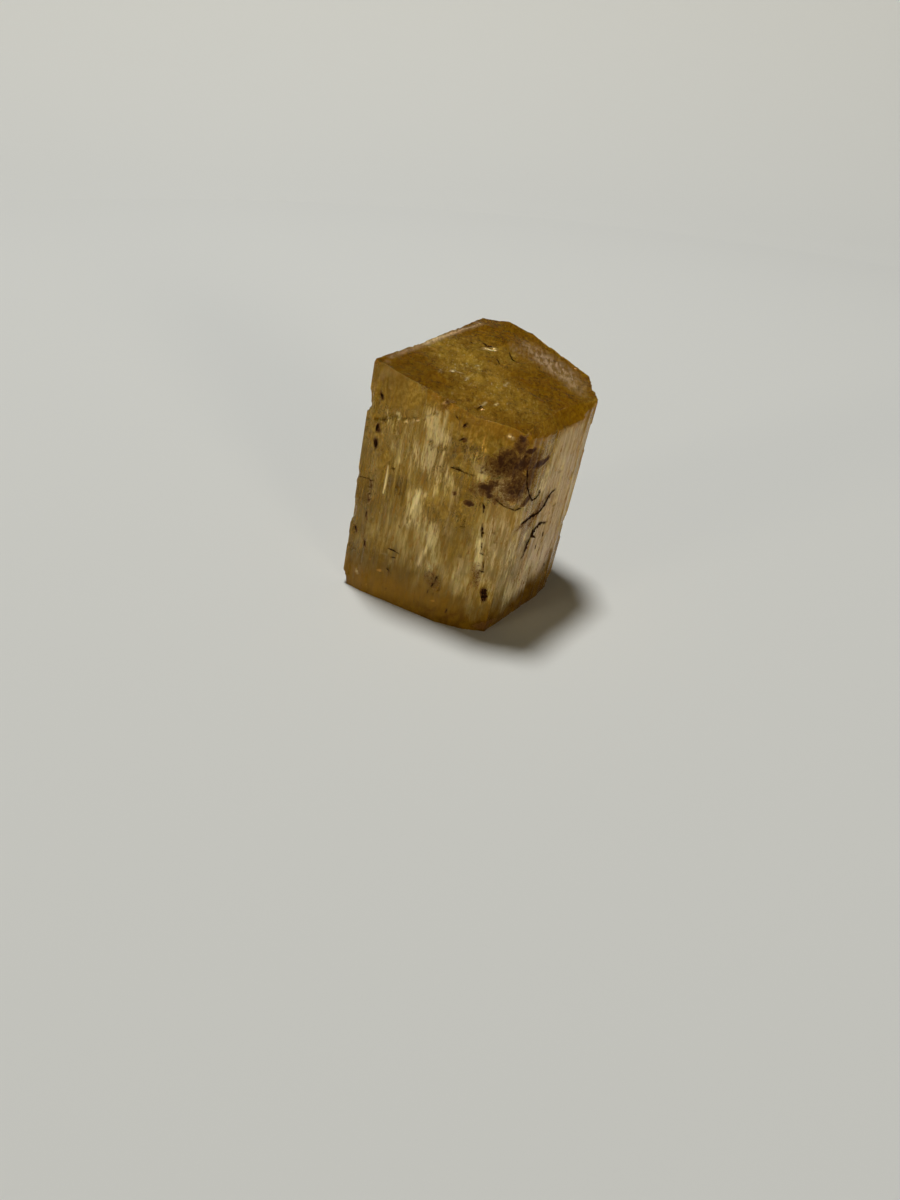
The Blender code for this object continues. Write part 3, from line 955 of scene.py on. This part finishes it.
class Nodes:
    """Short ways to add shader nodes."""

    def __init__(self, material):
        material.use_nodes = True
        self.tree = material.node_tree
        self.shader = self.tree.nodes["Principled BSDF"]
        self.output = self.tree.nodes["Material Output"]

    def put(self, socket, value):
        if isinstance(value, bpy.types.NodeSocket):
            self.tree.links.new(value, socket)
        else:
            socket.default_value = value

    def shade(self, name, value):
        """Set one of the surface's own inputs, to a constant or from a node."""
        self.put(self.shader.inputs[name], value)

    def math(self, operation, a, b=0.0, clamp=False):
        node = self.tree.nodes.new("ShaderNodeMath")
        node.operation = operation
        node.use_clamp = clamp
        self.put(node.inputs[0], a)
        self.put(node.inputs[1], b)
        return node.outputs[0]

    def add(self, a, b):
        return self.math("ADD", a, b)

    def times(self, a, b, clamp=False):
        return self.math("MULTIPLY", a, b, clamp)

    def less(self, a, b):
        return self.math("SUBTRACT", a, b)

    def most(self, *values):
        """The greatest of some values."""
        result = values[0]
        for value in values[1:]:
            result = self.math("MAXIMUM", result, value)
        return result

    def ramp(self, value, low, high, start=0.0, end=1.0):
        """Turn low..high into start..end, with soft ends."""
        node = self.tree.nodes.new("ShaderNodeMapRange")
        node.interpolation_type = "SMOOTHSTEP"
        self.put(node.inputs["Value"], value)
        node.inputs["From Min"].default_value = low
        node.inputs["From Max"].default_value = high
        node.inputs["To Min"].default_value = start
        node.inputs["To Max"].default_value = end
        return node.outputs["Result"]

    def mix(self, factor, a, b):
        node = self.tree.nodes.new("ShaderNodeMix")
        node.data_type = "RGBA"
        self.put(node.inputs["Factor"], factor)
        self.put(node.inputs["A"], a)
        self.put(node.inputs["B"], b)
        return node.outputs["Result"]

    def attribute(self, name):
        node = self.tree.nodes.new("ShaderNodeAttribute")
        node.attribute_name = name
        return node.outputs["Fac"]

    def crystal_place(self):
        """The place in mm, slid down along the crystal's axis in x and y, and the height in mm."""
        coordinates = self.tree.nodes.new("ShaderNodeTexCoord").outputs["Object"]
        split = self.tree.nodes.new("ShaderNodeSeparateXYZ")
        self.put(split.inputs[0], coordinates)
        x = self.less(split.outputs[0], self.times(split.outputs[2], AXIS.x))
        y = self.less(split.outputs[1], self.times(split.outputs[2], AXIS.y))
        join = self.tree.nodes.new("ShaderNodeCombineXYZ")
        for socket, value in zip(join.inputs, (x, y, split.outputs[2])):
            self.put(socket, self.times(value, 1.0 / MM))
        return join.outputs[0], self.times(split.outputs[2], 1.0 / MM)

    def noise(self, place, pattern):
        """Noise of one pattern, from 0 to 1 with its middle at a half."""
        stretch = self.tree.nodes.new("ShaderNodeMapping")
        self.put(stretch.inputs["Vector"], place)
        stretch.inputs["Scale"].default_value = pattern.stretch
        node = self.tree.nodes.new("ShaderNodeTexNoise")
        self.put(node.inputs["Vector"], stretch.outputs[0])
        node.inputs["Scale"].default_value = pattern.scale
        node.inputs["Detail"].default_value = pattern.detail
        node.inputs["Roughness"].default_value = pattern.rough
        node.inputs["Distortion"].default_value = pattern.warp
        return node.outputs["Fac"]

    def swing(self, value):
        """A noise moved so that its middle is at zero."""
        return self.less(value, NOISE_MIDDLE)

    def lines(self, place, pattern, ramp):
        """Thin crooked lines, where a noise crosses its middle."""
        return self.ramp(self.math("ABSOLUTE", self.swing(self.noise(place, pattern))), *ramp)


def striated_side(n, place, streak):
    """The striated sides: brown, with creamy streaks, rosy frost that is partly a painted reflection, thin
    dark lines, pale chips and dark cuts.

    Gives the colour, how strongly cream or rose covers it, and how strongly the marks cover it."""
    cream = n.attribute("cream")
    broad = n.noise(place, BROAD)
    lean = n.add(n.times(n.swing(streak), STREAK_WEIGHT), n.swing(broad))
    creamy = n.ramp(n.add(lean, n.times(cream, CREAM_WEIGHT)), *CREAM_RAMP)
    # Rosy frost, partly a painted reflection of the bright paper.
    rosy = n.times(n.attribute("rosy"), n.ramp(lean, *ROSY_FROST_AND_REFLECTION_RAMP), True)
    side = n.mix(n.ramp(broad, *BODY_RAMP), BODY_BROWN, BODY_GOLD)
    side = n.mix(rosy, side, ROSE_BROWN)
    side = n.mix(creamy, side, n.mix(rosy, CREAM_COLOUR, ROSE_CREAM))
    lines = n.lines(place, LINES, LINE_RAMP)
    side = n.mix(lines, side, LINE_BROWN)
    chip = n.noise(place, CHIPS)
    chips = n.times(n.ramp(chip, *CHIP_RAMP), cream, True)
    side = n.mix(chips, side, CHIP_CREAM)
    cuts = n.ramp(chip, *CUT_RAMP)
    side = n.mix(cuts, side, CUT_BROWN)
    return side, n.most(creamy, rosy), n.most(lines, chips, cuts)


def etched_top(n, place, blotch, grain):
    """The etched top: deep amber, with gold grain, painted glints, dark flecks, fine scratches and frosted
    zones.

    Gives the colour and how strongly frost covers it."""
    fleck_and_sparkle = n.noise(place, FLECKS_AND_SPARKLES)
    golden = n.attribute("golden")
    gold = n.times(golden, n.ramp(blotch, *GOLD_RAMP))
    face = n.mix(n.ramp(grain, *TOP_RAMP), TOP_AMBER, TOP_BROWN)
    face = n.mix(gold, face, TOP_GOLD)
    face = n.mix(n.times(gold, n.ramp(grain, *GRAIN_RAMP)), face, GRAIN_GOLD)
    # Painted glints: bright specks in the golden zones.
    face = n.mix(n.times(golden, n.ramp(fleck_and_sparkle, *SPARKLE_RAMP)), face, SPARKLE_CREAM)
    face = n.mix(n.ramp(fleck_and_sparkle, *DARK_FLECK_RAMP), face, FLECK_BROWN)
    face = n.mix(n.lines(place, SCRATCHES, SCRATCH_RAMP), face, SCRATCH_BROWN)
    frost = n.times(n.attribute("frost"), n.ramp(n.noise(place, FROST_DASHES), *FROST_RAMP))
    return n.mix(frost, face, FROST_ROSE), frost


def shaded_foot(n, place, height, blotch):
    """Painted shade at the foot: where it darkens to deep amber towards the sole, which creamy zones push
    down, and its colour.
    """
    ragged = n.add(height, n.times(n.swing(n.noise(place, FOOT_SHADE_EDGE)), FOOT_SHADE_EDGE_HEIGHT))
    foot = n.ramp(n.add(ragged, n.times(n.attribute("cream"), CREAM_LIFT)), *FOOT_SHADE_RAMP)
    return foot, n.mix(n.ramp(blotch, *FOOT_SHADE_COLOUR_RAMP), FOOT_SHADE_DARK, FOOT_SHADE_AMBER)


def iron_marks(n, place, colour):
    """Specks, iron stains with a near-black core, and the stained edges of the cracks.

    Gives the colour, and how strongly specks, stains and crack edges cover it."""
    stain = n.attribute("stain")
    speckle = n.add(n.noise(place, SPECKS), n.times(n.attribute("amber"), AMBER_SPECKS))
    specks = n.ramp(speckle, *SPECK_RAMP)
    colour = n.mix(n.times(specks, SPECK_STRENGTH), colour, SPECK_BROWN)
    patchy = n.times(n.swing(n.noise(place, RUST)), RUST_WEIGHT)
    rust = n.times(n.add(stain, patchy), n.ramp(stain, *STAIN_EDGE_RAMP))
    stained = n.ramp(rust, *STAIN_RAMP)
    colour = n.mix(stained, colour, STAIN_BROWN)
    colour = n.mix(n.ramp(rust, *CORE_RAMP), colour, CORE_BROWN)
    crack = n.add(n.attribute("crack"), n.times(n.noise(place, CRACK_EDGES), CRACK_EDGE_WIDTH))
    cracked = n.ramp(crack, *CRACK_RAMP)
    return n.mix(cracked, colour, CRACK_BROWN), specks, stained, cracked


def topaz():
    """Amber topaz: clear amber glass, veiled by its striated sides, etched top and stains, with painted shade
    at its foot.
    """
    material = bpy.data.materials.new("amber_topaz")
    n = Nodes(material)
    place, height = n.crystal_place()
    streak = n.noise(place, STREAKS)
    blotch = n.noise(place, BLOTCHES)
    grain = n.noise(place, GRAIN)
    uneven = n.times(blotch, ZONE_RAGGED)
    top = n.ramp(n.add(n.attribute("top"), uneven), *ZONE_RAMP)
    amber = n.ramp(n.add(n.attribute("amber"), uneven), *ZONE_RAMP)
    upper = n.most(top, amber)

    side, veiled, marked = striated_side(n, place, streak)
    face, frost = etched_top(n, place, blotch, grain)
    warm = n.mix(n.ramp(grain, *WARM_RAMP), WARM_BROWN, WARM_GOLD)
    colour = n.mix(upper, side, n.mix(top, warm, face))
    # Painted shade: the foot darkens to deep amber towards the sole.
    foot, foot_shade_colour = shaded_foot(n, place, height, blotch)
    colour = n.mix(foot, colour, foot_shade_colour)
    smooth = n.times(n.attribute("deep"), n.ramp(blotch, *SMOOTH_RAMP), True)
    colour = n.mix(smooth, colour, SMOOTH_AMBER)
    # Pale streaks, and painted glints and internal reflections, broken up along the striations.
    pale = n.times(n.attribute("pale"), n.ramp(n.noise(place, PALE_AND_GLINT_BREAKS), *PALE_AND_GLINT_RAMP), True)
    colour = n.mix(pale, colour, PALE_AND_GLINT_CREAM)
    # Painted highlight along the ridge at the top's left edge.
    ridge_highlight = n.times(n.attribute("ridge_highlight"), n.ramp(grain, *RIDGE_HIGHLIGHT_RAMP), True)
    colour = n.mix(ridge_highlight, colour, RIDGE_HIGHLIGHT_ROSE)
    colour, specks, stained, cracked = iron_marks(n, place, colour)
    n.shade("Base Color", colour)

    haze = n.times(n.attribute("haze"), n.ramp(streak, *HAZE_RAMP))
    opaque = n.most(
        LEAST_OPAQUE,
        haze,
        n.times(upper, n.ramp(blotch, *UPPER_OPAQUE_RAMP)),
        n.times(n.most(foot, smooth), FOOT_OPAQUE),
        n.times(veiled, VEIL_OPAQUE),
        n.times(frost, FROST_OPAQUE),
        n.times(marked, n.less(1.0, upper)),
        pale,
        ridge_highlight,
        specks,
        stained,
        cracked,
    )
    n.shade("Transmission Weight", n.less(1.0, opaque))
    rough = n.add(ROUGH_LEAST, n.times(n.noise(place, GLOSS), ROUGH_RANGE))
    n.shade("Roughness", n.most(rough, n.times(stained, STAIN_ROUGH)))
    n.shade("IOR", TOPAZ_IOR)
    n.shade("Specular IOR Level", SPECULAR_LEVEL)
    n.shade("Specular Tint", SPECULAR_TINT)
    n.shade("Subsurface Weight", GLOW_WEIGHT)
    n.shade("Subsurface Radius", GLOW_RADIUS)
    n.shade("Subsurface Scale", GLOW_SCALE)

    bump = n.tree.nodes.new("ShaderNodeBump")
    bump.inputs["Distance"].default_value = BUMP_DEPTH
    bump.inputs["Strength"].default_value = BUMP_STRENGTH
    n.put(bump.inputs["Height"], n.noise(place, BUMPS))
    n.shade("Normal", bump.outputs["Normal"])

    volume = n.tree.nodes.new("ShaderNodeVolumeAbsorption")
    volume.inputs["Color"].default_value = ABSORPTION_COLOUR
    volume.inputs["Density"].default_value = ABSORPTION_DENSITY
    n.put(n.output.inputs["Volume"], volume.outputs["Volume"])
    return material


def iron_stain():
    """Near-black iron stain that fills the cracks."""
    material = bpy.data.materials.new("iron_stain")
    n = Nodes(material)
    place = n.crystal_place()[0]
    n.shade("Base Color", n.mix(n.ramp(n.noise(place, FILLING), *FILLING_RAMP), FILLING_DARK, FILLING_BROWN))
    n.shade("Roughness", FILLING_ROUGH)
    n.shade("Specular IOR Level", 0.0)
    return material


def gap_glass():
    """The faces of the gaps inside: the same glass, with next to no colour of its own."""
    material = bpy.data.materials.new("gap_glass")
    n = Nodes(material)
    n.shade("Base Color", GAP_COLOUR)
    n.shade("Roughness", GAP_ROUGH)
    n.shade("IOR", TOPAZ_IOR)
    n.shade("Transmission Weight", 1.0)
    return material


def add_piece(name, mesh, material):
    """Put a mesh in the scene as a piece that rides with the crystal."""
    obj = bpy.data.objects.new(name, mesh)
    bpy.context.scene.collection.objects.link(obj)
    obj.data.materials.append(material)
    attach(obj, "root")
    return obj


def camera():
    data = bpy.data.cameras.new("camera")
    data.sensor_width = SENSOR
    data.lens = CAMERA_LENS
    data.clip_start = CAMERA_NEAR
    obj = bpy.data.objects.new("camera", data)
    obj.matrix_world = Matrix.Translation(CAMERA_PLACE) @ camera_turn().to_4x4()
    bpy.context.scene.collection.objects.link(obj)
    bpy.context.scene.camera = obj


def area_light(name, azimuth, elevation, distance, size, power, colour):
    data = bpy.data.lights.new(name, "AREA")
    data.shape = "DISK"
    data.size = size
    data.energy = power
    data.color = colour
    obj = bpy.data.objects.new(name, data)
    a, e = math.radians(azimuth), math.radians(elevation)
    towards = Vector((math.cos(a) * math.cos(e), math.sin(a) * math.cos(e), math.sin(e)))
    obj.location = towards * distance
    obj.rotation_euler = (-towards).to_track_quat("-Z", "Y").to_euler()
    obj.visible_camera = False
    bpy.context.scene.collection.objects.link(obj)


def paper():
    material = bpy.data.materials.new("paper")
    material.use_nodes = True
    shader = material.node_tree.nodes["Principled BSDF"]
    shader.inputs["Base Color"].default_value = PAPER_COLOUR
    shader.inputs["Roughness"].default_value = PAPER_ROUGH
    return material


def floor(material):
    bpy.ops.mesh.primitive_plane_add(size=FLOOR_SIZE)
    obj = bpy.context.object
    obj.name = "floor"
    obj.data.materials.append(material)


def backdrop(material):
    """Paper that curves up all round, far behind the crystal, and takes no part in lighting it."""
    verts = []
    faces = []
    for row in range(BACKDROP_ROWS + 1):
        turn = 0.5 * math.pi * row / BACKDROP_ROWS
        reach = BACKDROP_START + BACKDROP_RADIUS * math.sin(turn)
        height = SOLE_HEIGHT + BACKDROP_RADIUS * (1.0 - math.cos(turn))
        for k in range(BACKDROP_SEGMENTS):
            angle = 2 * math.pi * k / BACKDROP_SEGMENTS
            verts.append((reach * math.cos(angle), reach * math.sin(angle), height))
    for low in range(0, BACKDROP_ROWS * BACKDROP_SEGMENTS, BACKDROP_SEGMENTS):
        high = low + BACKDROP_SEGMENTS
        for k in range(BACKDROP_SEGMENTS):
            after = (k + 1) % BACKDROP_SEGMENTS
            faces.append((low + k, high + k, high + after, low + after))
    mesh = bpy.data.meshes.new("backdrop")
    mesh.from_pydata(verts, [], faces)
    mesh.materials.append(material)
    mesh.shade_smooth()
    obj = bpy.data.objects.new("backdrop", mesh)
    bpy.context.scene.collection.objects.link(obj)
    obj.visible_diffuse = False
    obj.visible_glossy = False
    obj.visible_transmission = False
    obj.visible_shadow = False


def world():
    """Soft light all round: warm and brighter near the horizon, dim overhead."""
    w = bpy.data.worlds.new("world")
    w.use_nodes = True
    tree = w.node_tree
    split = tree.nodes.new("ShaderNodeSeparateXYZ")
    tree.links.new(tree.nodes.new("ShaderNodeTexCoord").outputs["Generated"], split.inputs[0])
    rise = tree.nodes.new("ShaderNodeMapRange")
    rise.interpolation_type = "SMOOTHSTEP"
    tree.links.new(split.outputs[2], rise.inputs["Value"])
    rise.inputs["From Min"].default_value = 0.0
    rise.inputs["From Max"].default_value = WORLD_RISE
    rise.inputs["To Min"].default_value = WORLD_LOW
    rise.inputs["To Max"].default_value = WORLD_HIGH
    back = tree.nodes["Background"]
    back.inputs["Color"].default_value = WORLD_COLOUR
    tree.links.new(rise.outputs["Result"], back.inputs["Strength"])
    bpy.context.scene.world = w


camera()
sheet = paper()
floor(sheet)
backdrop(sheet)
world()
for light in LIGHTS:
    area_light(*light)
solid = Solid(frame["nodes"]["topaz_crystal"])
crystal = add_piece("crystal_skin", skin(solid), topaz())
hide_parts("topaz_crystal")
add_piece("inner_fractures", fractures(solid), gap_glass())
add_piece("crack_filling", crack_filling(solid), iron_stain())

scene = bpy.context.scene
scene.view_settings.view_transform = "Standard"
scene.cycles.max_bounces = BOUNCES
scene.cycles.transmission_bounces = CLEAR_BOUNCES
